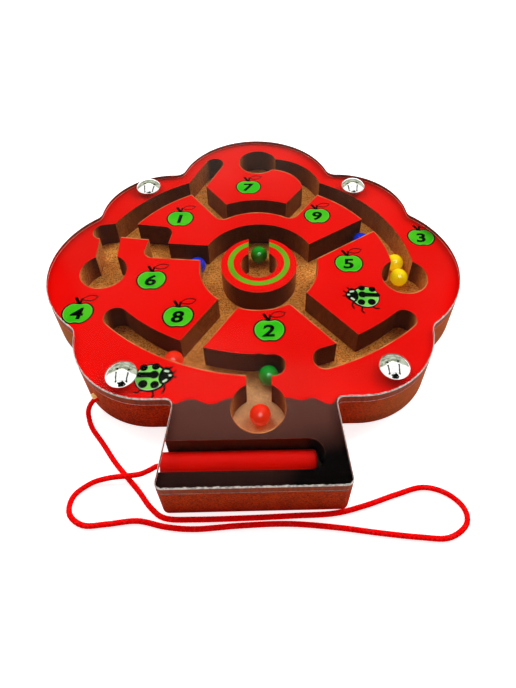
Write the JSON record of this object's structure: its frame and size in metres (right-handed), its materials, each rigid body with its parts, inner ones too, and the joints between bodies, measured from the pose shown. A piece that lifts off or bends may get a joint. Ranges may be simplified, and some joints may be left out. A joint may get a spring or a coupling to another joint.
{
  "type": "magnetic maze toy",
  "caption": "Tree-shaped fibreboard maze with small balls in channels under a clear cover and a magnetic wand on a cord.",
  "frame": {"origin": "middle of the bounding box at the board's underside, the cord left out", "axes": "+Z out of the face, +Y from the trunk to the top of the crown, +X to the right seen from above"},
  "size_m": [0.181, 0.2085, 0.0234],
  "materials": {
    "fibreboard": "fine speckled cut fibreboard",
    "print": "printed red crown and brown trunk under the cover",
    "clear_plastic": "clear polished acrylic",
    "cap_chrome": "polished",
    "nail_steel": "plain",
    "ball_green": "glossy",
    "ball_red": "glossy",
    "ball_blue": "glossy",
    "ball_yellow": "glossy",
    "wand_red": "satin",
    "magnet": "plain",
    "cord": "braided",
    "pale_wood": "bare"
  },
  "bodies": {
    "board": {"maze_board": "fibreboard", "face_sheet": "print", "clear_cover": "clear_plastic", "cap_upper_left": "cap_chrome", "cap_upper_right": "cap_chrome", "cap_lower_left": "cap_chrome", "cap_lower_right": "cap_chrome", "nail_upper_left": "nail_steel", "nail_upper_right": "nail_steel", "nail_lower_left": "nail_steel", "nail_lower_right": "nail_steel", "cord_peg": "pale_wood", "cord": "cord"},
    "wand": {"wand_tube": "wand_red", "wand_magnet": "magnet", "wand_plug": "wand_red", "cord_knot": "cord"},
    "ball_green_ring": {"ball_green_ring": "ball_green"},
    "ball_green_gate": {"ball_green_gate": "ball_green"},
    "ball_red_exit": {"ball_red_exit": "ball_red"},
    "ball_red_left": {"ball_red_left": "ball_red"},
    "ball_blue_left": {"ball_blue_left": "ball_blue"},
    "ball_blue_right": {"ball_blue_right": "ball_blue"},
    "ball_yellow_upper": {"ball_yellow_upper": "ball_yellow"},
    "ball_yellow_lower": {"ball_yellow_lower": "ball_yellow"}
  },
  "joints": [
    {"name": "green_ring_travel", "type": "slide", "parent": "board", "child": "ball_green_ring", "axis": [0, 1, 0], "range_m": [-0.018, 0.0082]},
    {"name": "green_gate_travel", "type": "hinge", "parent": "board", "child": "ball_green_gate", "pos_m": [0.0049, 0.041, 0.008], "axis": [0, 0, 1], "range_deg": [-18.4, 1]},
    {"name": "red_exit_travel", "type": "slide", "parent": "board", "child": "ball_red_exit", "axis": [0, 1, 0], "range_m": [-0.007, 0.0082]},
    {"name": "red_left_travel", "type": "hinge", "parent": "board", "child": "ball_red_left", "pos_m": [0.0049, 0.041, 0.008], "axis": [0, 0, 1], "range_deg": [-18.4, 0.9]},
    {"name": "blue_left_travel", "type": "slide", "parent": "board", "child": "ball_blue_left", "axis": [0.9964, -0.085, 0], "range_m": [-0.0189, 0.0066]},
    {"name": "blue_right_travel", "type": "slide", "parent": "board", "child": "ball_blue_right", "axis": [0.8422, 0.5392, 0], "range_m": [-0.0338, 0]},
    {"name": "yellow_upper_travel", "type": "hinge", "parent": "board", "child": "ball_yellow_upper", "pos_m": [0.0017, 0.0002, 0.008], "axis": [0, 0, 1], "range_deg": [0, 53]},
    {"name": "yellow_lower_travel", "type": "slide", "parent": "board", "child": "ball_yellow_lower", "axis": [0, 1, 0], "range_m": [-0.0122, 0]},
    {"name": "wand_slide", "type": "slide", "parent": "board", "child": "wand", "axis": [-1, 0, 0], "range_m": [0, 0.065], "deforming": ["cord"]}
  ]
}
